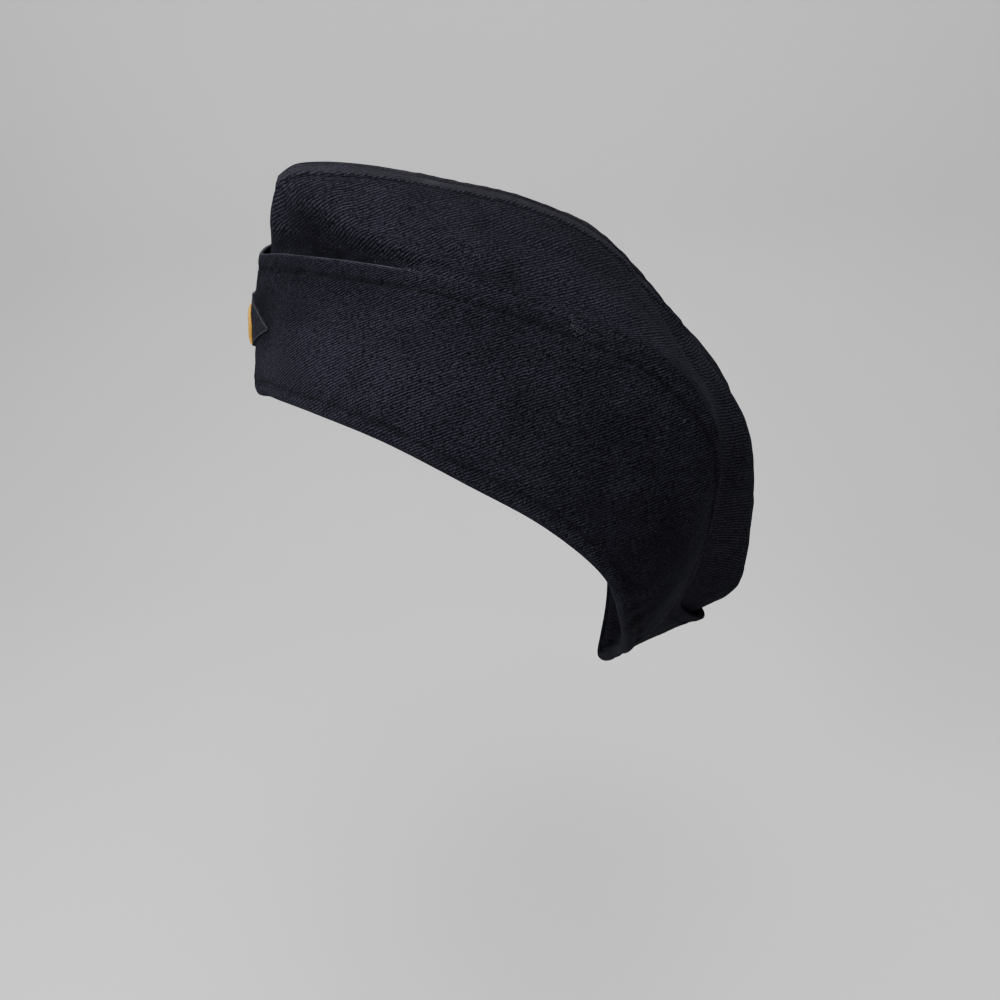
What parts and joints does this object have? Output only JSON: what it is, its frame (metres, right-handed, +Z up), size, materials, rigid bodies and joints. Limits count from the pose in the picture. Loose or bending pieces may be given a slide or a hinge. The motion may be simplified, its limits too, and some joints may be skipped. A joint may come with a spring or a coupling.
{
  "type": "side cap",
  "caption": "Soft wool side cap with a long ridged crown, a tall turn-up all round it and a diamond cloth badge on the front seam, in its worn form.",
  "frame": {"origin": "middle of the head opening, where the cap sits on a head: halfway between the fold at the front seam and the fold at the back seam", "axes": "the front of the cap faces -Y, the wearer's left is +X and +Z is up as the cap is worn; the cap is mirrored across the YZ plane"},
  "size_m": [0.144, 0.1864, 0.2156],
  "materials": {
    "wool": "dark navy wool serge with a fine raised twill, matt",
    "wool_insert": "the same wool, in shade between the ridges, matt",
    "badge_cloth": "dark navy felted badge cloth, matt",
    "gold_thread": "gold yellow embroidery thread, raised, with a soft sheen"
  },
  "bodies": {
    "root": {"crown_left": "wool", "crown_right": "wool", "crown_top": "wool_insert", "curtain_left": "wool", "curtain_right": "wool", "badge_patch": "badge_cloth", "badge_ring": "gold_thread", "badge_boss": "gold_thread"}
  },
  "joints": []
}
